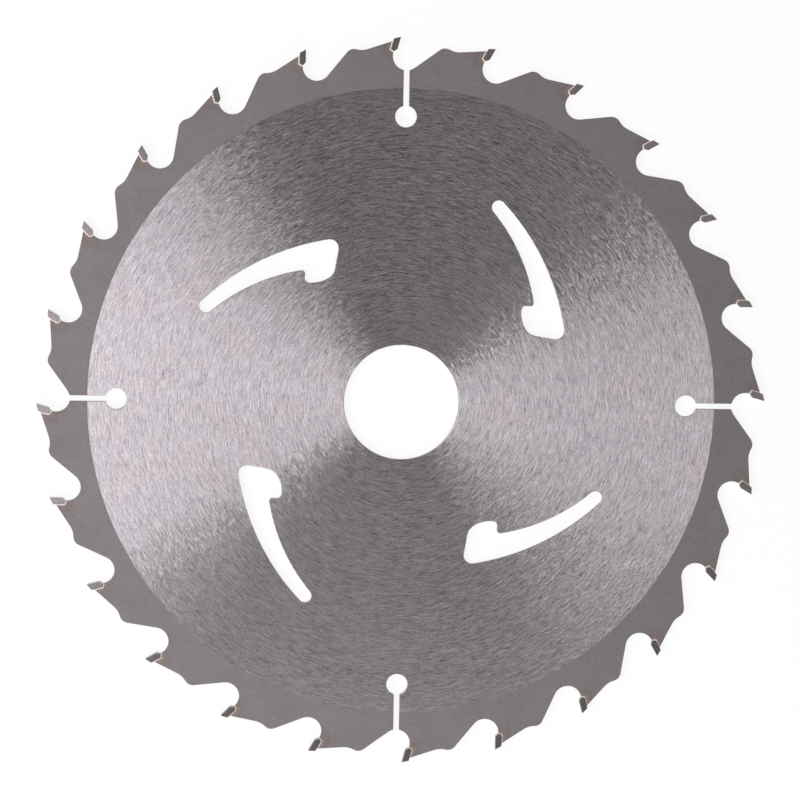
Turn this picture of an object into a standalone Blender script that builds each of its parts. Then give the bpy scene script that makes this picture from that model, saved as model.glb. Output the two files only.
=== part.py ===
"""Circular saw blade with brazed carbide teeth, lying flat.

Metres, +Z along the arbor. The origin is the centre of the arbor hole, halfway through the plate, so the blade is
the same above and below z = 0. Seen from +Z the teeth point clockwise and the expansion slots lie on the X and Y axes.

A tooth is drawn in its own frame: the cutting edge is on +Y, +X is ahead of it in the cutting direction, and the
heights are measured down from the cutting circle. Outlines run counter-clockwise with the steel on their left.
"""

from math import acos, atan2, ceil, cos, pi, radians, sin, tan

import bmesh
import bpy
from mathutils import Matrix, Vector

MM = 0.001
TAU = 2 * pi

# Blade
CUTTING_DIAMETER = 190 * MM
BORE_DIAMETER = 30 * MM
PLATE_THICKNESS = 1.6 * MM
KERF = 2.6 * MM
TOOTH_COUNT = 24

# Carbide tip, along its rake face and back from it
HOOK_ANGLE = radians(16)
TOP_CLEARANCE_ANGLE = radians(13)
RADIAL_RELIEF_ANGLE = radians(1)
TANGENTIAL_RELIEF_ANGLE = radians(1.5)
TIP_THICKNESS = 1.62 * MM
TIP_FACE_LENGTH = 3.29 * MM
TIP_BACK_LENGTH = 3.73 * MM
TIP_TOE_LENGTH = 4.08 * MM
TIP_TOE_SETBACK = 0.72 * MM

# Braze between the tip and its seat
BRAZE_BEHIND_TIP = 0.36 * MM
BRAZE_UNDER_TIP = 0.42 * MM
BRAZE_CLIMB = 0.3 * MM
BRAZE_BELOW_TIP_SIDE = 0.12 * MM
BRAZE_PROUD_OF_PLATE = 0.05 * MM
BRAZE_CLEARANCE = 0.02 * MM

# Tooth body: flank behind the tip, dip, round shoulder, slope down to the gullet
SEAT_CORNER_RADIUS = 0.5 * MM
HEEL_DROP = 1.17 * MM
FLANK_ANGLE = radians(17.6)
DIP_RADIUS = 5.1 * MM
SHOULDER_DROP = 2.3 * MM
SHOULDER_RADIUS = 2.4 * MM
SLOPE_ANGLE = radians(35.1)
GULLET_RADIUS = 3.65 * MM
GULLET_DEPTH = 8.65 * MM
GULLET_SETBACK = 2.1 * MM

# Expansion slots, each from a gullet to a round hole
SLOT_COUNT = 4
SLOT_WIDTH = 1.5 * MM
SLOT_END_DEPTH = 20.6 * MM
SLOT_END_DIAMETER = 5.6 * MM
SLOT_MOUTH_RADIUS = 0.3 * MM

# Curved vents, placed from the arbor's centre for the one in the quarter between +X and +Y
VENT_COUNT = 4
VENT_END_X = 24.5 * MM
VENT_END_Y = 51.25 * MM
VENT_END_RADIUS = 1.78 * MM
VENT_OUTER_RADIUS = 62.75 * MM
VENT_OUTER_BEARING = radians(-136.35)
VENT_INNER_RADIUS = 49.6 * MM
VENT_INNER_BEARING = radians(-139.8)
VENT_ROOF_X = 32.5 * MM
VENT_ROOF_Y = 25.65 * MM
VENT_ROOF_BEARING = radians(174)
VENT_POCKET_X = 38.95 * MM
VENT_POCKET_Y = 23.85 * MM
VENT_POCKET_RADIUS = 8.05 * MM
VENT_FLOOR_X = 36.0 * MM
VENT_FLOOR_Y = 17.6 * MM
VENT_FLOOR_BEARING = radians(-9.3)
VENT_NOSE_CORNER = 0.9 * MM
VENT_ROOF_CORNER = 1.3 * MM
VENT_FOOT_CORNER = 3.8 * MM
VENT_TOE_CORNER = 2.3 * MM

# Round stretches are cut into chords that stay this close to the true arc
ARC_TOLERANCE = 0.01 * MM
WELD_DISTANCE = 0.001 * MM
SMOOTH_UNDER = radians(30)

CUTTING_RADIUS = CUTTING_DIAMETER / 2
TOOTH_PITCH = TAU / TOOTH_COUNT
GULLET_CENTRE = Vector((GULLET_RADIUS - GULLET_SETBACK, CUTTING_RADIUS - GULLET_DEPTH + GULLET_RADIUS))
GULLET_LEAD_ANGLE = atan2(GULLET_CENTRE.x, GULLET_CENTRE.y)


def polar(radius, angle):
    return Vector((radius * cos(angle), radius * sin(angle)))


def turned(points, angle):
    """The points turned counter-clockwise about the arbor."""
    turn = Matrix.Rotation(angle, 2)
    return [turn @ point for point in points]


# Sides of an outline: straight or round, each with its own left-hand side


def line(start, end):
    """A straight side as a point on it and its direction."""
    return ("line", start, (end - start).normalized())


def round_side(centre, radius, turn):
    """A round side about centre, counter-clockwise for turn 1 and clockwise for turn -1."""
    return ("round", centre, radius, turn)


def moved_left(side, distance):
    """The side parallel to this one, a distance to its left."""
    if side[0] == "line":
        return ("line", side[1] + distance * Vector((-side[2].y, side[2].x)), side[2])
    return ("round", side[1], side[2] - side[3] * distance, side[3])


def foot(side, point):
    """The nearest place on the side."""
    if side[0] == "line":
        return side[1] + (point - side[1]).dot(side[2]) * side[2]
    return side[1] + side[2] * (point - side[1]).normalized()


def crossing(first, second, near):
    """Where two sides cross, taking the crossing nearest to near."""
    if first[0] == "line" and second[0] == "line":
        gap = second[1] - first[1]
        across = first[2].cross(second[2])
        return first[1] + gap.cross(second[2]) / across * first[2]
    if first[0] == "line":
        first, second = second, first
    centre, radius = first[1], first[2]
    if second[0] == "line":
        middle = foot(second, centre)
        along = second[2]
    else:
        gap = second[1] - centre
        reach = (gap.length_squared + radius**2 - second[2] ** 2) / (2 * gap.length)
        middle = centre + reach * gap.normalized()
        along = Vector((-gap.y, gap.x)).normalized()
    half_chord = max(radius**2 - (middle - centre).length_squared, 0) ** 0.5
    ends = (middle + half_chord * along, middle - half_chord * along)
    return min(ends, key=lambda end: (end - near).length)


def arc(centre, start, end, turn):
    """Points of the arc about centre from start to end, both included."""
    radius = (start - centre).length
    first = atan2(start.y - centre.y, start.x - centre.x)
    last = atan2(end.y - centre.y, end.x - centre.x)
    sweep = turn * ((turn * (last - first)) % TAU)
    largest_step = 2 * acos(1 - min(ARC_TOLERANCE / radius, 1))
    steps = max(2, ceil(abs(sweep) / largest_step))
    return [centre + polar(radius, first + sweep * step / steps) for step in range(steps + 1)]


def circle(centre, radius):
    """Points once round a circle, counter-clockwise."""
    steps = ceil(TAU / (2 * acos(1 - ARC_TOLERANCE / radius)))
    return [centre + polar(radius, TAU * step / steps) for step in range(steps)]


def fillet(first, second, radius, turn, near):
    """Points of the arc that rounds the corner between two sides, left-hand for turn 1, near a given place."""
    centre = crossing(moved_left(first, turn * radius), moved_left(second, turn * radius), near)
    return arc(centre, foot(first, centre), foot(second, centre), turn)


# Tooth


def from_tip(down, back):
    """A place in the tooth's frame, measured down the rake face and back from it."""
    along_face = Vector((-sin(HOOK_ANGLE), -cos(HOOK_ANGLE)))
    off_face = Vector((-cos(HOOK_ANGLE), sin(HOOK_ANGLE)))
    return Vector((0, CUTTING_RADIUS)) + down * along_face + back * off_face


def tip_corners():
    """Cutting edge, top of the back, foot of the back, toe and foot of the rake face."""
    top_of_back = TIP_THICKNESS * tan(HOOK_ANGLE + TOP_CLEARANCE_ANGLE)
    return [
        from_tip(0, 0),
        from_tip(top_of_back, TIP_THICKNESS),
        from_tip(TIP_BACK_LENGTH, TIP_THICKNESS),
        from_tip(TIP_TOE_LENGTH, TIP_TOE_SETBACK),
        from_tip(TIP_FACE_LENGTH, 0),
    ]


def seat_sides():
    """Floor and wall of the seat, run from the gullet up to the heel with the steel on the left."""
    _, top_of_back, foot_of_back, toe, _ = tip_corners()
    floor = moved_left(line(toe, foot_of_back), BRAZE_UNDER_TIP)
    wall = moved_left(line(foot_of_back, top_of_back), BRAZE_BEHIND_TIP)
    return floor, wall


def heel_corner():
    """Top of the seat's wall, where the flank starts."""
    level = Vector((0, CUTTING_RADIUS - HEEL_DROP))
    return crossing(seat_sides()[1], line(level, level + Vector((-1, 0))), level)


def slope_side():
    """Slope that falls from the shoulder ahead and runs into the gullet as a tangent."""
    heading = pi + SLOPE_ANGLE
    foot_of_slope = GULLET_CENTRE + polar(GULLET_RADIUS, heading + pi / 2)
    return line(foot_of_slope, foot_of_slope + polar(1, heading))


def shoulder_ahead():
    """Centre of the round on the shoulder ahead, which has the slope for a tangent."""
    centres = round_side(Vector((0, 0)), CUTTING_RADIUS - SHOULDER_DROP - SHOULDER_RADIUS, 1)
    edge_ahead = turned([from_tip(0, 0)], -TOOTH_PITCH)[0]
    return crossing(centres, moved_left(slope_side(), SHOULDER_RADIUS), edge_ahead)


def slot_points(gullet):
    """Expansion slot: down one side from the gullet, round the hole and back up the other side."""
    outward = Vector((sin(GULLET_LEAD_ANGLE), cos(GULLET_LEAD_ANGLE)))
    right = Vector((outward.y, -outward.x)) * SLOT_WIDTH / 2
    hole_centre = outward * (CUTTING_RADIUS - SLOT_END_DEPTH)
    hole = round_side(hole_centre, SLOT_END_DIAMETER / 2, -1)
    inward_side = line(outward * CUTTING_RADIUS + right, right)
    outward_side = line(-right, outward * CUTTING_RADIUS - right)
    mouth = outward * (CUTTING_RADIUS - GULLET_DEPTH)
    hole_top = hole_centre + outward * SLOT_END_DIAMETER / 2
    points = fillet(gullet, inward_side, SLOT_MOUTH_RADIUS, 1, mouth + right)
    points += arc(
        hole_centre,
        crossing(hole, inward_side, hole_top + right),
        crossing(hole, outward_side, hole_top - right),
        -1,
    )
    points += fillet(outward_side, gullet, SLOT_MOUTH_RADIUS, 1, mouth - right)
    return points


def tooth_points(slotted):
    """Outline of one pitch, from the foot of the slope ahead to this tooth's shoulder."""
    gullet = round_side(GULLET_CENTRE, GULLET_RADIUS, -1)
    floor, wall = seat_sides()
    heel = heel_corner()
    flank = line(heel, heel + polar(1, pi + FLANK_ANGLE))
    slope_top = foot(slope_side(), shoulder_ahead())
    shoulder_centre, shoulder_end = turned([shoulder_ahead(), slope_top], TOOTH_PITCH)
    shoulder = round_side(shoulder_centre, SHOULDER_RADIUS, 1)

    gullet_start = foot(slope_side(), GULLET_CENTRE)
    gullet_end = crossing(gullet, floor, from_tip(TIP_TOE_LENGTH, TIP_TOE_SETBACK))
    if slotted:
        slot = slot_points(gullet)
        points = arc(GULLET_CENTRE, gullet_start, slot[0], -1)[:-1] + slot
        points += arc(GULLET_CENTRE, slot[-1], gullet_end, -1)[1:]
    else:
        points = arc(GULLET_CENTRE, gullet_start, gullet_end, -1)
    seat_corner = crossing(floor, wall, heel)
    points += fillet(floor, wall, SEAT_CORNER_RADIUS, -1, seat_corner)
    points.append(heel)
    points += fillet(flank, shoulder, DIP_RADIUS, -1, heel)
    points += arc(shoulder_centre, points[-1], shoulder_end, 1)[1:]
    return points


# Plate


def slotted_teeth():
    """Numbers of the teeth whose gullets open into an expansion slot."""
    return {round(slot * TOOTH_COUNT / SLOT_COUNT) % TOOTH_COUNT for slot in range(SLOT_COUNT)}


def tooth_angle(number):
    """Turn that takes the tooth's frame to a tooth's place, with gullet number 0 on +Y."""
    return GULLET_LEAD_ANGLE + number * TOOTH_PITCH


def toothed_rim():
    slotted = slotted_teeth()
    points = []
    for number in range(TOOTH_COUNT):
        points += turned(tooth_points(number in slotted), tooth_angle(number))
    return points


def vent_points():
    """Vent between +X and +Y: foot at the bottom, outer arc up to the round end, inner arc back down to the hook."""
    end = Vector((VENT_END_X, VENT_END_Y))
    outer_centre = end + polar(VENT_OUTER_RADIUS - VENT_END_RADIUS, VENT_OUTER_BEARING)
    inner_centre = end + polar(VENT_INNER_RADIUS + VENT_END_RADIUS, VENT_INNER_BEARING)
    floor_at = Vector((VENT_FLOOR_X, VENT_FLOOR_Y))
    roof_at = Vector((VENT_ROOF_X, VENT_ROOF_Y))
    pocket_centre = Vector((VENT_POCKET_X, VENT_POCKET_Y))

    floor = line(floor_at, floor_at + polar(1, VENT_FLOOR_BEARING))
    outer = round_side(outer_centre, VENT_OUTER_RADIUS, 1)
    inner = round_side(inner_centre, VENT_INNER_RADIUS, -1)
    roof = line(roof_at, roof_at + polar(1, VENT_ROOF_BEARING))
    pocket = round_side(pocket_centre, VENT_POCKET_RADIUS, 1)

    toe = fillet(floor, outer, VENT_TOE_CORNER, 1, crossing(outer, floor, floor_at))
    nose = fillet(inner, roof, VENT_NOSE_CORNER, -1, crossing(inner, roof, roof_at))
    roof_corner = fillet(roof, pocket, VENT_ROOF_CORNER, 1, crossing(pocket, roof, roof_at))
    foot_corner = fillet(pocket, floor, VENT_FOOT_CORNER, 1, floor_at)
    end_start = foot(outer, end)
    end_stop = foot(inner, end)

    points = toe[:-1]
    points += arc(outer_centre, toe[-1], end_start, 1)[:-1]
    points += arc(end, end_start, end_stop, 1)[:-1]
    points += arc(inner_centre, end_stop, nose[0], -1)[:-1]
    points += nose
    points += roof_corner[:-1]
    points += arc(pocket_centre, roof_corner[-1], foot_corner[0], 1)[:-1]
    points += foot_corner
    return points


def flat_mesh(name, loops, half_thickness, material, collection):
    """Solid as high above z = 0 as below it, from an outer outline and the outlines of its holes."""
    curve = bpy.data.curves.new(name, "CURVE")
    curve.dimensions = "2D"
    curve.fill_mode = "BOTH"
    curve.extrude = half_thickness
    for loop in loops:
        spline = curve.splines.new("POLY")
        spline.points.add(len(loop) - 1)
        for control, point in zip(spline.points, loop):
            control.co = (point.x, point.y, 0, 1)
        spline.use_cyclic_u = True
    drawn = bpy.data.objects.new(name + "_outline", curve)
    collection.objects.link(drawn)
    evaluated = drawn.evaluated_get(bpy.context.evaluated_depsgraph_get())
    mesh = bpy.data.meshes.new_from_object(evaluated)
    mesh.name = name
    bpy.data.objects.remove(drawn)
    bpy.data.curves.remove(curve)

    shape = bmesh.new()
    shape.from_mesh(mesh)
    bmesh.ops.remove_doubles(shape, verts=shape.verts, dist=WELD_DISTANCE)
    bmesh.ops.recalc_face_normals(shape, faces=shape.faces)
    shape.to_mesh(mesh)
    shape.free()
    mesh.materials.clear()
    mesh.materials.append(material)
    return mesh


def place(name, mesh, collection, angle=0.0):
    """Puts a mesh in the scene, turned about the arbor."""
    piece = bpy.data.objects.new(name, mesh)
    piece.rotation_euler.z = angle
    collection.objects.link(piece)


def make_plate(collection, steel):
    vent = vent_points()
    loops = [toothed_rim(), circle(Vector((0, 0)), BORE_DIAMETER / 2)]
    loops += [turned(vent, TAU * number / VENT_COUNT) for number in range(VENT_COUNT)]
    mesh = flat_mesh("blade_plate", loops, PLATE_THICKNESS / 2, steel, collection)
    mesh.shade_smooth()
    mesh.set_sharp_from_angle(angle=SMOOTH_UNDER)
    place("blade_plate", mesh, collection)


# Tips and their joints


def tip_mesh(collection, carbide):
    """Block of the tip's outline and the kerf's width, with both sides relieved downward and backward."""
    mesh = flat_mesh("carbide_tip", [tip_corners()], KERF / 2, carbide, collection)
    edge = from_tip(0, 0)
    down = tan(RADIAL_RELIEF_ANGLE) * (from_tip(1, 0) - edge)
    back = tan(TANGENTIAL_RELIEF_ANGLE) * (from_tip(0, 1) - edge)
    lean = down + back
    shape = bmesh.new()
    shape.from_mesh(mesh)
    for side in (1, -1):
        everything = shape.verts[:] + shape.edges[:] + shape.faces[:]
        cut = bmesh.ops.bisect_plane(
            shape,
            geom=everything,
            plane_co=Vector((edge.x, edge.y, side * KERF / 2)),
            plane_no=Vector((lean.x, lean.y, side)),
            clear_outer=True,
        )
        rim = [element for element in cut["geom_cut"] if isinstance(element, bmesh.types.BMEdge)]
        bmesh.ops.edgeloop_fill(shape, edges=rim)
    bmesh.ops.remove_doubles(shape, verts=shape.verts, dist=WELD_DISTANCE)
    bmesh.ops.recalc_face_normals(shape, faces=shape.faces)
    shape.to_mesh(mesh)
    shape.free()
    return mesh


def braze_mesh(collection, filler):
    """Bead that fills the seat behind and under the tip, sloping from the tip's side down to the plate."""
    _, top_of_back, foot_of_back, toe, _ = tip_corners()
    floor, wall = (moved_left(side, -BRAZE_CLEARANCE) for side in seat_sides())
    under_tip = moved_left(line(toe, foot_of_back), BRAZE_CLEARANCE)
    behind_tip = moved_left(line(foot_of_back, top_of_back), BRAZE_CLEARANCE)
    heel = heel_corner()

    at_seat = [crossing(round_side(GULLET_CENTRE, GULLET_RADIUS, -1), floor, toe)]
    corner_radius = SEAT_CORNER_RADIUS - BRAZE_CLEARANCE
    at_seat += fillet(floor, wall, corner_radius, -1, crossing(floor, wall, heel))
    at_seat.append(foot(wall, heel))
    climb = (foot(behind_tip, top_of_back) - foot(behind_tip, foot_of_back)).normalized() * BRAZE_CLIMB
    at_tip = [
        foot(behind_tip, heel) + climb,
        crossing(under_tip, behind_tip, heel),
        foot(under_tip, toe),
    ]
    height_at_seat = PLATE_THICKNESS / 2 + BRAZE_PROUD_OF_PLATE
    relief = TIP_THICKNESS * tan(TANGENTIAL_RELIEF_ANGLE) + TIP_TOE_LENGTH * tan(RADIAL_RELIEF_ANGLE)
    height_at_tip = KERF / 2 - relief - BRAZE_BELOW_TIP_SIDE
    mesh = flat_mesh("braze_joint", [at_seat + at_tip], height_at_seat, filler, collection)
    for vertex in mesh.vertices:
        spot = Vector(vertex.co[:2])
        if min((spot - foot(side, spot)).length for side in (under_tip, behind_tip)) < WELD_DISTANCE:
            vertex.co.z *= height_at_tip / height_at_seat
    mesh.shade_smooth()
    mesh.set_sharp_from_angle(angle=SMOOTH_UNDER)
    return mesh


def make_teeth(collection, carbide, filler):
    tip = tip_mesh(collection, carbide)
    braze = braze_mesh(collection, filler)
    for number in range(TOOTH_COUNT):
        place(f"carbide_tip_{number + 1:02d}", tip, collection, tooth_angle(number))
        place(f"braze_joint_{number + 1:02d}", braze, collection, tooth_angle(number))


def metal(name, colour, roughness):
    material = bpy.data.materials.new(name)
    material.use_nodes = True
    shader = material.node_tree.nodes["Principled BSDF"]
    shader.inputs["Base Color"].default_value = (*colour, 1)
    shader.inputs["Roughness"].default_value = roughness
    shader.inputs["Metallic"].default_value = 1
    return material


def main():
    for leftover in list(bpy.data.objects):
        bpy.data.objects.remove(leftover)
    collection = bpy.data.collections.new("circular_saw_blade")
    bpy.context.scene.collection.children.link(collection)
    steel = metal("ground_steel", (0.36, 0.34, 0.35), 0.4)
    carbide = metal("carbide", (0.14, 0.13, 0.14), 0.35)
    filler = metal("braze_filler", (0.68, 0.55, 0.52), 0.45)
    make_plate(collection, steel)
    make_teeth(collection, carbide, filler)


main()
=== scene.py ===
"""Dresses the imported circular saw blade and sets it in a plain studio.

Metres, in the part's own frame: +Z along the arbor, the origin halfway through the plate in the middle of
the hole. Patterns in the finishes are laid out in millimetres in that frame. A tooth is numbered
counter-clockwise from the one at the top, and in its own frame the cutting edge is on +Y with the back of
the tooth towards -X.
"""

from math import cos, pi, radians, sin

import bmesh
import bpy
import numpy as np
from mathutils import Matrix, Vector, noise
from mathutils.geometry import delaunay_2d_cdt


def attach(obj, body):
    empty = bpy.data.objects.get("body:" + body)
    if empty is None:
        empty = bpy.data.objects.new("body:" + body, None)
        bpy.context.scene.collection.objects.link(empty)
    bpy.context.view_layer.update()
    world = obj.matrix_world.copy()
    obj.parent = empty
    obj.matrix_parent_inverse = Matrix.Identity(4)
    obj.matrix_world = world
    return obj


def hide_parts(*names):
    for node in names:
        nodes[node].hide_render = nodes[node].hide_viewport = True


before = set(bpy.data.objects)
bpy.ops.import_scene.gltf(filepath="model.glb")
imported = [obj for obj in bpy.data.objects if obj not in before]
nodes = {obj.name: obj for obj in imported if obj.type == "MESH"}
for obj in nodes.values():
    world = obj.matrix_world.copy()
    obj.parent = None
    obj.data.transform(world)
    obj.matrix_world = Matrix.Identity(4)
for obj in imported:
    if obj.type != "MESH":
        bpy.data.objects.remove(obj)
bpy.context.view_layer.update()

MM = 0.001
TAU = 2 * pi

# Blade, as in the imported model
TOOTH_COUNT = 24
TOOTH_PITCH = TAU / TOOTH_COUNT
FIRST_EDGE_ANGLE = radians(90.99)
CUTTING_RADIUS = 95 * MM
PLATE_TOP = 0.8 * MM
FLOOR_HEIGHT = -1.3 * MM
HOOK_ANGLE = radians(16)
SEAT_FLOOR_DROP = 4.15 * MM
SEAT_WALL_SETBACK = 1.98 * MM

# Dressing
GROUND_RADIUS = 81.8 * MM
PLATE_EDGE_BREAK = 0.08 * MM
SEAT_EDGE_BREAK = 0.02 * MM
BORE_EDGE_BREAK = 0.2 * MM
BORE_RADIUS = 15 * MM
TIP_EDGE_BREAK = 0.03 * MM
TIP_EDGE_SEGMENTS = 2
CIRCLE_STEPS = 360
CORNER_ANGLE = radians(30)
FLAT_ANGLE = radians(1)
BRAZE_CORNER_ANGLE = radians(50)
BRAZE_STEPS = 36
BRAZE_SHARES = (0, 0.15, 0.35, 0.6, 0.85, 1)
BRAZE_RISE = 1.6
BRAZE_FILM = 0.01 * MM
BRAZE_FILM_LIFT = 0.004 * MM
BRAZE_FILM_GRAIN = 1.6
BRAZE_FILM_SPREAD = 0.9
BRAZE_SEED_STEP = 7.3
BRAZE_TOP = 0.88 * MM
BRAZE_RIPPLE = 0.02 * MM
BRAZE_RIPPLE_GRAIN = 2.7

# Tolerances
WELD_DISTANCE = 0.0001 * MM
NEAR = 0.01 * MM
SAME_SPOT = 0.00001 * MM
SAME_ANGLE = 0.002
FACING_UP = 0.5

# Numbers of the plate's three finishes
GROUND, BLASTED, CUT = range(3)

# Highlights of the ground metals
STROKE_WANDER = 0.475
CARBIDE_TANGENT = (sin(radians(15)), cos(radians(15)), 0)

# Colours of the finishes
GROUND_WARM = (0.430, 0.378, 0.405, 1)
GROUND_COOL = (0.408, 0.384, 0.409, 1)
BLASTED_WARM = (0.241, 0.213, 0.226, 1)
BLASTED_COOL = (0.228, 0.209, 0.218, 1)
HEAT_BROWN = (0.223, 0.190, 0.185, 1)
HEAT_STRAW = (0.380, 0.262, 0.205, 1)
CUT_DARK = (0.36, 0.28, 0.25, 1)
CUT_LIGHT = (0.46, 0.41, 0.40, 1)
CARBIDE_WARM = (0.257, 0.220, 0.226, 1)
CARBIDE_COOL = (0.241, 0.221, 0.228, 1)
BRAZE_TAN = (0.73, 0.63, 0.575, 1)
BRAZE_PALE = (0.73, 0.68, 0.65, 1)
BRAZE_FLUX = (0.40, 0.28, 0.22, 1)

# Studio
FLOOR_HALF = 4.0
FLOOR_WHITE = 0.94
FLOOR_OWN_SHARE = 0.9
SKY_STOPS = ((0.0, 1.0), (0.07, 1.0), (0.16, 0.17), (0.4, 0.116), (1.0, 0.08))
CAMERA_PLACE = (-0.03599, 0.09573, 1.03930)
CAMERA_DEGREES = (-5.2601, -1.8795, 0.9238)
CAMERA_LENS = 180
CAMERA_SENSOR = 36


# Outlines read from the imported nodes


def upper_outlines(node):
    """Closed outlines of a node's upper side, each with the metal on its left."""
    shape = bmesh.new()
    shape.from_mesh(node.data)
    bmesh.ops.remove_doubles(shape, verts=shape.verts, dist=WELD_DISTANCE)
    following = {}
    for face in shape.faces:
        if face.normal.z < FACING_UP:
            continue
        for corner in face.loops:
            if any(other.normal.z < FACING_UP for other in corner.edge.link_faces):
                following[corner.vert] = corner.link_loop_next.vert
    outlines = []
    while following:
        vertex, ahead = following.popitem()
        outline = [vertex.co.copy()]
        while ahead in following:
            outline.append(ahead.co.copy())
            ahead = following.pop(ahead)
        outlines.append(outline)
    shape.free()
    return outlines


def side_normals(points):
    """Outward unit normals of the sides that start at each point."""
    along = np.roll(points, -1, axis=0) - points
    along /= np.linalg.norm(along, axis=1, keepdims=True)
    return np.stack([along[:, 1], -along[:, 0]], axis=1)


def moved_in(points, distance):
    """The outline moved to its left by a distance, corner by corner."""
    ahead = side_normals(points)
    behind = np.roll(ahead, 1, axis=0)
    share = 1 + (ahead * behind).sum(axis=1, keepdims=True)
    return points - distance * (ahead + behind) / share


def with_circle_crossings(outer, inner, radius):
    """Both outlines with a point added wherever the inner one crosses a circle about the arbor."""
    outer_points, inner_points = [], []
    reach = np.linalg.norm(inner, axis=1) - radius
    for at in range(len(inner)):
        ahead = (at + 1) % len(inner)
        outer_points.append(outer[at])
        inner_points.append(inner[at])
        if reach[at] * reach[ahead] < 0:
            step = inner[ahead] - inner[at]
            a, b, c = step @ step, step @ inner[at], inner[at] @ inner[at] - radius**2
            root = (b * b - a * c) ** 0.5
            share = min(((-b + root) / a, (-b - root) / a), key=lambda value: abs(value - 0.5))
            outer_points.append(outer[at] + share * (outer[ahead] - outer[at]))
            inner_points.append(inner[at] + share * step)
    return np.array(outer_points), np.array(inner_points)


# Plate with broken edges


def edge_breaks(points):
    """How far the plate's edge is broken at each point: wider round the bore and barely along the seats."""
    x, y = points.T
    radius = np.hypot(x, y)
    turns = (np.arctan2(y, x) - FIRST_EDGE_ANGLE) / TOOTH_PITCH
    local = (turns - np.round(turns)) * TOOTH_PITCH
    behind, below = radius * np.sin(local), CUTTING_RADIUS - radius * np.cos(local)
    down = cos(HOOK_ANGLE) * below + sin(HOOK_ANGLE) * behind
    back = cos(HOOK_ANGLE) * behind - sin(HOOK_ANGLE) * below
    at_seat = (down < SEAT_FLOOR_DROP + NEAR) & (abs(back) < SEAT_WALL_SETBACK + NEAR)
    edge = np.where(at_seat, SEAT_EDGE_BREAK, PLATE_EDGE_BREAK)
    return np.where(radius < BORE_RADIUS + NEAR, BORE_EDGE_BREAK, edge)[:, None]


def inside(spots, outlines):
    """Whether each spot is on the metal, by counting the sides on its right."""
    crossings = np.zeros(len(spots), int)
    for points in outlines:
        start, end = points, np.roll(points, -1, axis=0)
        for spot in range(len(spots)):
            x, y = spots[spot]
            straddles = (start[:, 1] > y) != (end[:, 1] > y)
            low, high = start[straddles], end[straddles]
            at = low[:, 0] + (y - low[:, 1]) * (high[:, 0] - low[:, 0]) / (high[:, 1] - low[:, 1])
            crossings[spot] += np.count_nonzero(at > x)
    return crossings % 2 == 1


def turn_between(angle, other):
    return abs((angle - other + pi) % TAU - pi)


def face_triangles(outlines):
    """Points and triangles of the flat face inside the outlines, split along the edge of the ground area."""
    spots, sides = [], []
    for points in outlines:
        first = len(spots)
        spots += [Vector(point / MM) for point in points]
        sides += [(first + at, first + (at + 1) % len(points)) for at in range(len(points))]
    on_circle = [at for at, spot in enumerate(spots) if abs(spot.length * MM - GROUND_RADIUS) < SAME_SPOT]
    taken = [np.arctan2(spots[at].y, spots[at].x) % TAU for at in on_circle]
    angles = [TAU * step / CIRCLE_STEPS for step in range(CIRCLE_STEPS)]
    free = [angle for angle in angles if all(turn_between(angle, other) > SAME_ANGLE for other in taken)]
    first = len(spots)
    spots += [Vector((cos(angle), sin(angle))) * GROUND_RADIUS / MM for angle in free]
    ring = sorted(list(zip(taken, on_circle)) + list(zip(free, range(first, len(spots)))))
    sides += [(ring[at][1], ring[(at + 1) % len(ring)][1]) for at in range(len(ring))]
    made, _, triangles, origins, _, _ = delaunay_2d_cdt(spots, sides, [], 0, SAME_SPOT / MM)
    made = np.array([point[:] for point in made]) * MM
    triangles = np.array(triangles)
    middles = made[triangles].mean(axis=1)
    kept = inside(middles, outlines)
    place_of = {source: at for at, sources in enumerate(origins) for source in sources}
    return made, triangles[kept], np.linalg.norm(middles[kept], axis=1) < GROUND_RADIUS, place_of


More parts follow.
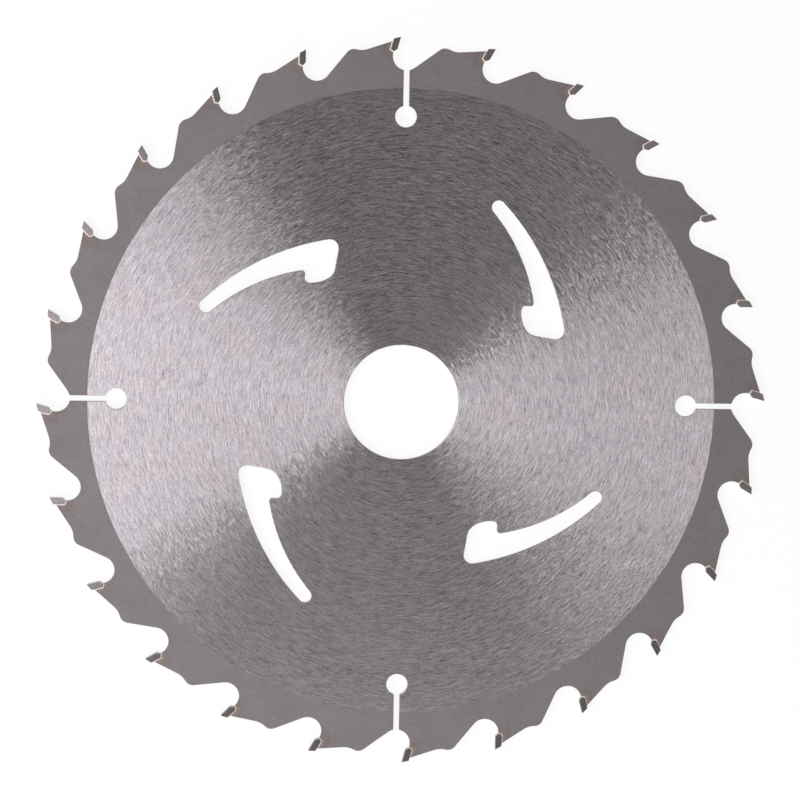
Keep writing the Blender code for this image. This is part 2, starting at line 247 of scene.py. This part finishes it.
def plate_mesh(node):
    """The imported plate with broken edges, its upper and lower faces split into ground and blasted areas."""
    outer_lines, inner_lines = [], []
    for outline in upper_outlines(node):
        outer = np.array([point[:2] for point in outline])
        outer, inner = with_circle_crossings(outer, moved_in(outer, edge_breaks(outer)), GROUND_RADIUS)
        outer_lines.append(outer)
        inner_lines.append(inner)
    flat, triangles, ground, place_of = face_triangles(inner_lines)

    count = len(flat)
    heights = (PLATE_TOP, -PLATE_TOP)
    vertices = [(x, y, z) for z in heights for x, y in flat]
    faces, normals, finishes = [], [], []
    for level, z in enumerate(heights):
        for corners, is_ground in zip(triangles.tolist(), ground):
            turn = 1 if z > 0 else -1
            faces.append([corner + level * count for corner in corners[::turn]])
            normals.append([(0, 0, turn)] * 3)
            finishes.append(GROUND if is_ground else BLASTED)

    first = 0
    for outer in outer_lines:
        size = len(outer)
        upper = len(vertices)
        lower = upper + size
        edge = (PLATE_TOP - edge_breaks(outer)).ravel()
        vertices += [(x, y, z) for (x, y), z in zip(outer, edge)]
        vertices += [(x, y, -z) for (x, y), z in zip(outer, edge)]
        ahead = side_normals(outer)
        behind = np.roll(ahead, 1, axis=0)
        smooth = (ahead * behind).sum(axis=1) > cos(CORNER_ANGLE)
        shared = ahead + behind
        shared /= np.linalg.norm(shared, axis=1, keepdims=True)
        for at in range(size):
            to = (at + 1) % size
            out_at = (*(shared[at] if smooth[at] else ahead[at]), 0)
            out_to = (*(shared[to] if smooth[to] else ahead[at]), 0)
            cap_at, cap_to = place_of[first + at], place_of[first + to]
            is_ground = np.linalg.norm(outer[at] + outer[to]) / 2 < GROUND_RADIUS
            faces.append([upper + at, upper + to, cap_to, cap_at])
            normals.append([out_at, out_to, (0, 0, 1), (0, 0, 1)])
            faces.append([cap_at + count, cap_to + count, lower + to, lower + at])
            normals.append([(0, 0, -1), (0, 0, -1), out_to, out_at])
            finishes += [GROUND if is_ground else BLASTED] * 2
            faces.append([lower + at, lower + to, upper + to, upper + at])
            normals.append([out_at, out_to, out_to, out_at])
            finishes.append(CUT)
        first += size

    mesh = bpy.data.meshes.new("blade_plate_look")
    mesh.from_pydata(vertices, [], faces)
    mesh.polygons.foreach_set("material_index", finishes)
    mesh.polygons.foreach_set("use_smooth", [True] * len(faces))
    mesh.normals_split_custom_set([normal for face in normals for normal in face])
    return mesh


# Tips and braze, each drawn in the tooth's own frame and turned into place


def to_tooth(points, number):
    """Points of one tooth turned into its own frame, with the cutting edge on +Y."""
    turn = Matrix.Rotation(pi / 2 - FIRST_EDGE_ANGLE - number * TOOTH_PITCH, 3, "Z")
    return [turn @ point for point in points]


def tip_mesh(node):
    """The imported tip, in its own frame, with its edges broken."""
    mesh = bpy.data.meshes.new("carbide_tip_look")
    shape = bmesh.new()
    shape.from_mesh(node.data)
    shape.transform(Matrix.Rotation(pi / 2 - FIRST_EDGE_ANGLE, 4, "Z"))
    bmesh.ops.remove_doubles(shape, verts=shape.verts, dist=WELD_DISTANCE)
    bmesh.ops.dissolve_limit(shape, angle_limit=FLAT_ANGLE, verts=shape.verts, edges=shape.edges)
    bmesh.ops.bevel(
        shape,
        geom=shape.edges[:],
        offset=TIP_EDGE_BREAK,
        segments=TIP_EDGE_SEGMENTS,
        profile=0.5,
        affect="EDGES",
        clamp_overlap=True,
    )
    bmesh.ops.recalc_face_normals(shape, faces=shape.faces)
    shape.to_mesh(mesh)
    shape.free()
    mesh.shade_smooth()
    return mesh


def resampled(points, count):
    """The line through the points, cut into equal lengths."""
    lengths = [(end - start).length for start, end in zip(points, points[1:])]
    reach = np.concatenate([[0], np.cumsum(lengths)])
    at = np.linspace(0, reach[-1], count)
    table = np.array([point[:] for point in points])
    return np.stack([np.interp(at, reach, table[:, axis]) for axis in range(3)], axis=1)


def braze_lines(node, number):
    """A joint's upper outline as two matching lines from gullet to heel: along the seat and along the tip."""
    outline = to_tooth(upper_outlines(node)[0], number)
    top = max(point.z for point in outline)
    at_tip = [point.z > top - NEAR for point in outline]
    start = next(at for at in range(len(outline)) if at_tip[at - 1] and not at_tip[at])
    outline = outline[start:] + outline[:start]
    seat = [point for point in outline if point.z <= top - NEAR]
    tip = [point for point in outline if point.z > top - NEAR][::-1]
    if seat[0].y > seat[-1].y:
        seat, tip = seat[::-1], tip[::-1]
    corner = min(range(1, len(seat) - 1), key=lambda at: (seat[at].xy - tip[1].xy).length)
    half = BRAZE_STEPS // 2
    seat_line = np.concatenate([resampled(seat[: corner + 1], half)[:-1], resampled(seat[corner:], half + 1)])
    tip_line = np.concatenate([resampled(tip[:2], half)[:-1], resampled(tip[1:], half + 1)])
    return seat_line, tip_line


def braze_mesh(node, number):
    """Bead that fills the seam and climbs the tip's side, with a thin film run out on the plate."""
    seat_line, tip_line = braze_lines(node, number)
    shape = bmesh.new()
    rings = []
    for at, (seat, tip) in enumerate(zip(seat_line, tip_line)):
        across = tip[:2] - seat[:2]
        across /= np.linalg.norm(across)
        along = Vector((seat[0] / MM, seat[1] / MM, number * BRAZE_SEED_STEP))
        film = BRAZE_FILM * (1 + BRAZE_FILM_SPREAD * noise.noise(along * BRAZE_FILM_GRAIN))
        profile = [(seat[:2] - across * film, PLATE_TOP + BRAZE_FILM_LIFT)]
        for share in BRAZE_SHARES:
            spot = seat[:2] + share * (tip[:2] - seat[:2])
            uneven = noise.noise(along * BRAZE_RIPPLE_GRAIN + Vector((0, 0, share)))
            ripple = BRAZE_RIPPLE * sin(pi * share) * uneven
            profile.append((spot, seat[2] + (BRAZE_TOP - seat[2]) * share**BRAZE_RISE + ripple))
        ring = [(spot[0], spot[1], z) for spot, z in profile]
        ring += [(x, y, -z) for x, y, z in reversed(ring)]
        ring += [(seat[0], seat[1], -PLATE_TOP), (seat[0], seat[1], PLATE_TOP)]
        rings.append([shape.verts.new(point) for point in ring])
    for ring, ahead in zip(rings, rings[1:]):
        for at in range(len(ring)):
            to = (at + 1) % len(ring)
            shape.faces.new((ring[at], ring[to], ahead[to], ahead[at]))
    shape.faces.new(rings[0][::-1])
    shape.faces.new(rings[-1])
    bmesh.ops.recalc_face_normals(shape, faces=shape.faces)
    mesh = bpy.data.meshes.new(f"braze_joint_look_{number + 1:02d}")
    shape.to_mesh(mesh)
    shape.free()
    mesh.shade_smooth()
    mesh.set_sharp_from_angle(angle=BRAZE_CORNER_ANGLE)
    return mesh


# Finishes


class Finish:
    """A metal whose colour, roughness and bump come from patterns laid out in millimetres."""

    def __init__(self, name, metallic=1.0, **constants):
        self.material = bpy.data.materials.new(name)
        self.material.use_nodes = True
        self.tree = self.material.node_tree
        self.shader = self.tree.nodes["Principled BSDF"]
        self.shader.inputs["Metallic"].default_value = metallic
        for socket, value in constants.items():
            self.shader.inputs[socket.replace("_", " ")].default_value = value
        at = self.node("ShaderNodeTexCoord").outputs["Object"]
        self.place = self.vector("SCALE", at, scale=1 / MM)
        split = self.node("ShaderNodeSeparateXYZ", self.place)
        self.x, self.y, self.z = split.outputs
        self.radius = self.vector("LENGTH", self.joined(self.x, self.y, 0.0))

    def feed(self, socket, value):
        if isinstance(value, bpy.types.NodeSocket):
            self.tree.links.new(value, socket)
        else:
            socket.default_value = value

    def node(self, kind, *values, **settings):
        made = self.tree.nodes.new(kind)
        for name, value in settings.items():
            setattr(made, name, value)
        for socket, value in zip(made.inputs, values):
            self.feed(socket, value)
        return made

    def maths(self, operation, *values):
        return self.node("ShaderNodeMath", *values, operation=operation).outputs[0]

    def vector(self, operation, *values, scale=None):
        made = self.node("ShaderNodeVectorMath", *values, operation=operation)
        if scale is not None:
            self.feed(made.inputs["Scale"], scale)
        return made.outputs["Value" if operation == "LENGTH" else "Vector"]

    def joined(self, x, y, z):
        return self.node("ShaderNodeCombineXYZ", x, y, z).outputs[0]

    def noise(self, at, detail=0.0):
        made = self.node("ShaderNodeTexNoise")
        self.feed(made.inputs["Vector"], at)
        made.inputs["Scale"].default_value = 1
        made.inputs["Detail"].default_value = detail
        return made.outputs[0]

    def grain(self, size, seed, detail=0.0):
        """Even grain of a size."""
        at = self.vector("ADD", self.vector("SCALE", self.place, scale=1 / size), (seed,) * 3)
        return self.noise(at, detail)

    def strokes(self, length, width, seed, detail=0.0):
        """Strokes of a length and a width that run round the arbor."""
        across = self.maths("MULTIPLY_ADD", self.radius, 1 / width, seed)
        return self.noise(
            self.joined(
                self.maths("MULTIPLY_ADD", self.x, 1 / length, seed),
                self.maths("MULTIPLY_ADD", self.y, 1 / length, -seed),
                across,
            ),
            detail,
        )

    def blend(self, *pairs):
        """Weighted sum of patterns."""
        total = 0.0
        for weight, pattern in pairs:
            total = self.maths("MULTIPLY_ADD", pattern, weight, total)
        return total

    def ranged(self, value, start, end, low, high, smooth=False):
        made = self.node("ShaderNodeMapRange", interpolation_type="SMOOTHSTEP" if smooth else "LINEAR")
        names = ("Value", "From Min", "From Max", "To Min", "To Max")
        for name, number in zip(names, (value, start, end, low, high)):
            self.feed(made.inputs[name], number)
        return made.outputs[0]

    def mixed(self, share, first, second):
        made = self.node("ShaderNodeMix", data_type="RGBA")
        for socket, value in zip((made.inputs[0], made.inputs[6], made.inputs[7]), (share, first, second)):
            self.feed(socket, value)
        return made.outputs[2]

    def coloured(self, colour, factor):
        """Sets the base colour: a colour times a factor that varies over the surface."""
        self.feed(self.shader.inputs["Base Color"], self.vector("SCALE", colour, scale=factor))

    def rough(self, value):
        self.feed(self.shader.inputs["Roughness"], value)

    def bumped(self, height, distance):
        made = self.node("ShaderNodeBump")
        made.inputs["Distance"].default_value = distance
        self.feed(made.inputs["Height"], height)
        self.feed(self.shader.inputs["Normal"], made.outputs[0])

    def round_arbor(self, wander):
        """Direction round the arbor, turned outward by a slope that varies over the surface."""
        outward = self.vector("NORMALIZE", self.joined(self.x, self.y, 0.0))
        around = self.vector("CROSS_PRODUCT", (0.0, 0.0, 1.0), outward)
        return self.vector("ADD", around, self.vector("SCALE", outward, scale=wander))

    def stroked(self, direction):
        """Gives the highlight its tangent, a direction in the piece's own frame."""
        frames = {"convert_from": "OBJECT", "convert_to": "WORLD"}
        turned = self.node("ShaderNodeVectorTransform", direction, vector_type="VECTOR", **frames)
        self.feed(self.shader.inputs["Tangent"], turned.outputs[0])


def grey(value):
    return (value, value, value, 1)


def ground_steel():
    """Face ground round the arbor: short strokes in the colour, the gloss and the bump."""
    steel = Finish("ground_steel_look", Anisotropic=1.0, Anisotropic_Rotation=0.25)
    fine = steel.strokes(length=1.2, width=0.12, seed=3.1, detail=1.0)
    long = steel.strokes(length=3.0, width=0.14, seed=8.7)
    short = steel.strokes(length=0.35, width=0.13, seed=5.3)
    cloud = steel.grain(size=11, seed=2.0, detail=1.0)
    strokes = steel.blend((0.36, fine), (0.36, long), (0.28, short))
    tint = steel.mixed(cloud, GROUND_WARM, GROUND_COOL)
    outward = steel.ranged(steel.radius, 50, 81, 0.965, 1.025)
    steel.coloured(tint, steel.maths("MULTIPLY", outward, steel.ranged(strokes, 0.25, 0.75, 0.26, 1.74)))
    steel.rough(steel.ranged(strokes, 0.25, 0.75, 0.27, 0.34))
    steel.feed(steel.shader.inputs["Metallic"], steel.ranged(strokes, 0.40, 0.75, 1.0, 0.85))
    steel.bumped(strokes, 0.04 * MM)
    drift = steel.strokes(length=1.3, width=0.3, seed=6.3, detail=1.0)
    wander = steel.maths("MULTIPLY_ADD", drift, 2 * STROKE_WANDER, -STROKE_WANDER)
    steel.stroked(steel.round_arbor(wander))
    return steel.material


def distance_off_seat(steel):
    """Distance in millimetres from the nearest tooth's seat, past its floor, its wall or its open front."""
    angle = steel.maths("ARCTAN2", steel.y, steel.x)
    turns = steel.maths("MULTIPLY_ADD", angle, 1 / TOOTH_PITCH, -FIRST_EDGE_ANGLE / TOOTH_PITCH)
    local = steel.maths("MULTIPLY", steel.maths("SUBTRACT", turns, steel.maths("ROUND", turns)), TOOTH_PITCH)
    behind = steel.maths("MULTIPLY", steel.radius, steel.maths("SINE", local))
    upright = steel.maths("MULTIPLY", steel.radius, steel.maths("COSINE", local))
    below = steel.maths("SUBTRACT", CUTTING_RADIUS / MM, upright)
    down = steel.blend((cos(HOOK_ANGLE), below), (sin(HOOK_ANGLE), behind))
    back = steel.blend((cos(HOOK_ANGLE), behind), (-sin(HOOK_ANGLE), below))
    past_floor = steel.maths("MAXIMUM", steel.maths("SUBTRACT", down, SEAT_FLOOR_DROP / MM), 0.0)
    past_wall = steel.maths("MAXIMUM", steel.maths("SUBTRACT", back, SEAT_WALL_SETBACK / MM), 0.0)
    past_face = steel.maths("MAXIMUM", steel.maths("MULTIPLY", back, -1.0), past_wall)
    return steel.vector("LENGTH", steel.joined(past_floor, past_face, 0.0))


def blasted_steel():
    """Tooth zone: fine even grain, stray bright specks, and heat colour round each brazed seat."""
    steel = Finish("blasted_steel_look")
    fine = steel.grain(size=0.40, seed=1.7, detail=1.0)
    mottle = steel.grain(size=1.0, seed=5.2, detail=1.0)
    cloud = steel.grain(size=6, seed=9.2, detail=2.0)
    patchy = steel.grain(size=1.9, seed=8.1)
    ragged = steel.grain(size=0.8, seed=6.6, detail=1.0)
    speck = steel.ranged(steel.grain(size=0.40, seed=4.4), 0.77, 0.86, 0, 1, smooth=True)
    uneven = steel.maths("MULTIPLY_ADD", ragged, 0.5, distance_off_seat(steel))
    straw = steel.maths(
        "MULTIPLY",
        steel.ranged(uneven, 0.42, 0.60, 0, 1, smooth=True),
        steel.ranged(uneven, 0.68, 1.15, steel.ranged(patchy, 0.35, 0.6, 0.1, 0.48), 0, smooth=True),
    )
    brown = steel.ranged(uneven, 1.2, 3.8, steel.ranged(patchy, 0.3, 0.7, 0.7, 1.2), 0, smooth=True)
    body = steel.mixed(cloud, BLASTED_WARM, BLASTED_COOL)
    body = steel.mixed(brown, body, HEAT_BROWN)
    body = steel.mixed(straw, body, HEAT_STRAW)
    body = steel.mixed(steel.maths("MULTIPLY", speck, 0.25), body, grey(0.6))
    mottled = steel.blend((0.45, fine), (0.55, mottle))
    steel.coloured(body, steel.ranged(mottled, 0.25, 0.75, 0.90, 1.10))
    steel.rough(steel.ranged(cloud, 0.3, 0.7, 0.62, 0.67))
    steel.bumped(fine, 0.004 * MM)
    return steel.material


def cut_steel():
    """Laser-cut edge: brownish, with fine lines straight through the plate."""
    steel = Finish("cut_steel_look")
    lines = steel.noise(
        steel.joined(
            steel.maths("MULTIPLY", steel.x, 1 / 0.13),
            steel.maths("MULTIPLY", steel.y, 1 / 0.13),
            steel.maths("MULTIPLY", steel.z, 1 / 1.1),
        ),
        1.0,
    )
    body = steel.mixed(steel.grain(size=1.4, seed=3.9, detail=2.0), CUT_DARK, CUT_LIGHT)
    steel.coloured(body, steel.ranged(lines, 0.25, 0.75, 0.72, 1.2))
    steel.rough(steel.ranged(lines, 0.25, 0.75, 0.58, 0.42))
    steel.bumped(lines, 0.012 * MM)
    return steel.material


def carbide():
    """Ground carbide: dark, with hair lines across the side and a few pores."""
    metal = Finish("carbide_look", Anisotropic=0.773)
    lines = metal.noise(
        metal.joined(
            metal.maths("MULTIPLY", metal.x, 1 / 1.4),
            metal.maths("MULTIPLY", metal.y, 1 / 0.05),
            metal.maths("MULTIPLY", metal.z, 1 / 0.6),
        ),
        1.0,
    )
    pores = metal.ranged(metal.grain(size=0.07, seed=2.3), 0.30, 0.24, 0, 1, smooth=True)
    body = metal.mixed(metal.grain(size=1.1, seed=5.5, detail=1.0), CARBIDE_WARM, CARBIDE_COOL)
    body = metal.mixed(metal.maths("MULTIPLY", pores, 0.5), body, grey(0.04))
    metal.coloured(body, metal.ranged(lines, 0.25, 0.75, 0.85, 1.15))
    metal.rough(metal.ranged(lines, 0.25, 0.75, 0.355, 0.31))
    metal.bumped(lines, 0.002 * MM)
    metal.stroked(CARBIDE_TANGENT)
    return metal.material


def braze_filler():
    """Braze: pale and dull under its skin of flux, with a few darker traces."""
    metal = Finish("braze_filler_look", metallic=0.2)
    patches = metal.grain(size=0.35, seed=7.7, detail=2.0)
    flux = metal.ranged(metal.grain(size=0.5, seed=1.2, detail=1.0), 0.62, 0.74, 0, 1, smooth=True)
    body = metal.mixed(patches, BRAZE_TAN, BRAZE_PALE)
    body = metal.mixed(metal.maths("MULTIPLY", flux, 0.35), body, BRAZE_FLUX)
    metal.coloured(body, metal.ranged(patches, 0.25, 0.75, 0.92, 1.08))
    metal.rough(metal.ranged(patches, 0.3, 0.7, 0.68, 0.52))
    metal.bumped(patches, 0.01 * MM)
    return metal.material


# Studio


def studio_floor():
    """Plain white floor that keeps the shadow. The camera and the metal see mostly its own white."""
    mesh = bpy.data.meshes.new("studio_floor")
    corners = [(-1, -1), (1, -1), (1, 1), (-1, 1)]
    vertices = [(x * FLOOR_HALF, y * FLOOR_HALF, FLOOR_HEIGHT) for x, y in corners]
    mesh.from_pydata(vertices, [], [(0, 1, 2, 3)])
    floor = bpy.data.objects.new("studio_floor", mesh)
    bpy.context.scene.collection.objects.link(floor)
    material = bpy.data.materials.new("studio_white")
    material.use_nodes = True
    tree = material.node_tree
    tree.nodes.clear()
    paint = tree.nodes.new("ShaderNodeBsdfDiffuse")
    paint.inputs["Color"].default_value = grey(FLOOR_WHITE)
    own = tree.nodes.new("ShaderNodeEmission")
    own.inputs["Color"].default_value = grey(1)
    ray = tree.nodes.new("ShaderNodeLightPath")
    seen = ray.outputs["Is Camera Ray"]
    for other in ("Is Glossy Ray", "Is Transmission Ray"):
        either = tree.nodes.new("ShaderNodeMath")
        either.operation = "MAXIMUM"
        tree.links.new(seen, either.inputs[0])
        tree.links.new(ray.outputs[other], either.inputs[1])
        seen = either.outputs[0]
    share = tree.nodes.new("ShaderNodeMath")
    share.operation = "MULTIPLY"
    share.inputs[1].default_value = FLOOR_OWN_SHARE
    tree.links.new(seen, share.inputs[0])
    mix = tree.nodes.new("ShaderNodeMixShader")
    tree.links.new(share.outputs[0], mix.inputs[0])
    tree.links.new(paint.outputs[0], mix.inputs[1])
    tree.links.new(own.outputs[0], mix.inputs[2])
    output = tree.nodes.new("ShaderNodeOutputMaterial")
    tree.links.new(mix.outputs[0], output.inputs["Surface"])
    mesh.materials.append(material)


def studio_world():
    """White at the horizon and dim overhead, the same for every ray."""
    world = bpy.data.worlds.new("studio")
    bpy.context.scene.world = world
    world.use_nodes = True
    tree = world.node_tree
    background = tree.nodes["Background"]
    place = tree.nodes.new("ShaderNodeTexCoord")
    split = tree.nodes.new("ShaderNodeSeparateXYZ")
    ramp = tree.nodes.new("ShaderNodeValToRGB")
    tree.links.new(place.outputs["Generated"], split.inputs[0])
    tree.links.new(split.outputs[2], ramp.inputs[0])
    tree.links.new(ramp.outputs[0], background.inputs["Color"])
    while len(ramp.color_ramp.elements) < len(SKY_STOPS):
        ramp.color_ramp.elements.new(0.5)
    for element, (height, value) in zip(ramp.color_ramp.elements, SKY_STOPS):
        element.position = height
        element.color = grey(value)


def lamp(name, bearing, height, distance, width, depth, roll, radiance):
    """Soft box that faces the blade, placed by its bearing and height over the blade in degrees."""
    azimuth, elevation = radians(bearing), radians(height)
    out = Vector((cos(elevation) * cos(azimuth), cos(elevation) * sin(azimuth), sin(elevation)))
    level = Vector((-sin(azimuth), cos(azimuth), 0))
    rise = (-out).cross(level)
    across = cos(radians(roll)) * level + sin(radians(roll)) * rise
    data = bpy.data.lights.new(name, "AREA")
    data.shape = "RECTANGLE"
    data.size, data.size_y = width, depth
    data.energy = radiance * pi * width * depth
    box = bpy.data.objects.new(name, data)
    turn = Matrix((across, out.cross(across), out)).transposed()
    box.matrix_world = Matrix.Translation(out * distance) @ turn.to_4x4()
    box.visible_camera = False
    bpy.context.scene.collection.objects.link(box)


def camera():
    data = bpy.data.cameras.new("camera")
    data.lens, data.sensor_width = CAMERA_LENS, CAMERA_SENSOR
    eye = bpy.data.objects.new("camera", data)
    eye.location = CAMERA_PLACE
    eye.rotation_euler = [radians(angle) for angle in CAMERA_DEGREES]
    bpy.context.scene.collection.objects.link(eye)
    bpy.context.scene.camera = eye


# Assembly


def dress(mesh, node, finishes, turn=0):
    """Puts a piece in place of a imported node, turned about the arbor."""
    piece = bpy.data.objects.new(node + "_look", mesh)
    bpy.context.scene.collection.objects.link(piece)
    for finish in finishes:
        mesh.materials.append(finish)
    piece.rotation_euler.z = turn
    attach(piece, "root")
    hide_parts(node)
    return piece


plate_finishes = [ground_steel(), blasted_steel(), cut_steel()]
dress(plate_mesh(nodes["blade_plate"]), "blade_plate", plate_finishes)
carbide_finish, braze_finish = carbide(), braze_filler()
tip = tip_mesh(nodes["carbide_tip_01"])
for tooth in range(TOOTH_COUNT):
    turn = FIRST_EDGE_ANGLE - pi / 2 + tooth * TOOTH_PITCH
    name = f"carbide_tip_{tooth + 1:02d}"
    piece = dress(tip.copy(), name, [carbide_finish], turn)
    piece.modifiers.new("even_shading", "WEIGHTED_NORMAL")
    name = f"braze_joint_{tooth + 1:02d}"
    dress(braze_mesh(nodes[name], tooth), name, [braze_finish], turn)

studio_floor()
studio_world()
lamp("left_box", 178.1, 53.4, distance=1.139, width=1.055, depth=0.996, roll=-21.1, radiance=3.656)
lamp("right_box", -20.1, 61.9, distance=2.297, width=1.510, depth=0.540, roll=29.5, radiance=1.079)
lamp("front_box", 260.1, 42.6, distance=0.800, width=1.264, depth=0.433, roll=6.9, radiance=2.272)
camera()
bpy.context.scene.view_settings.view_transform = "Standard"
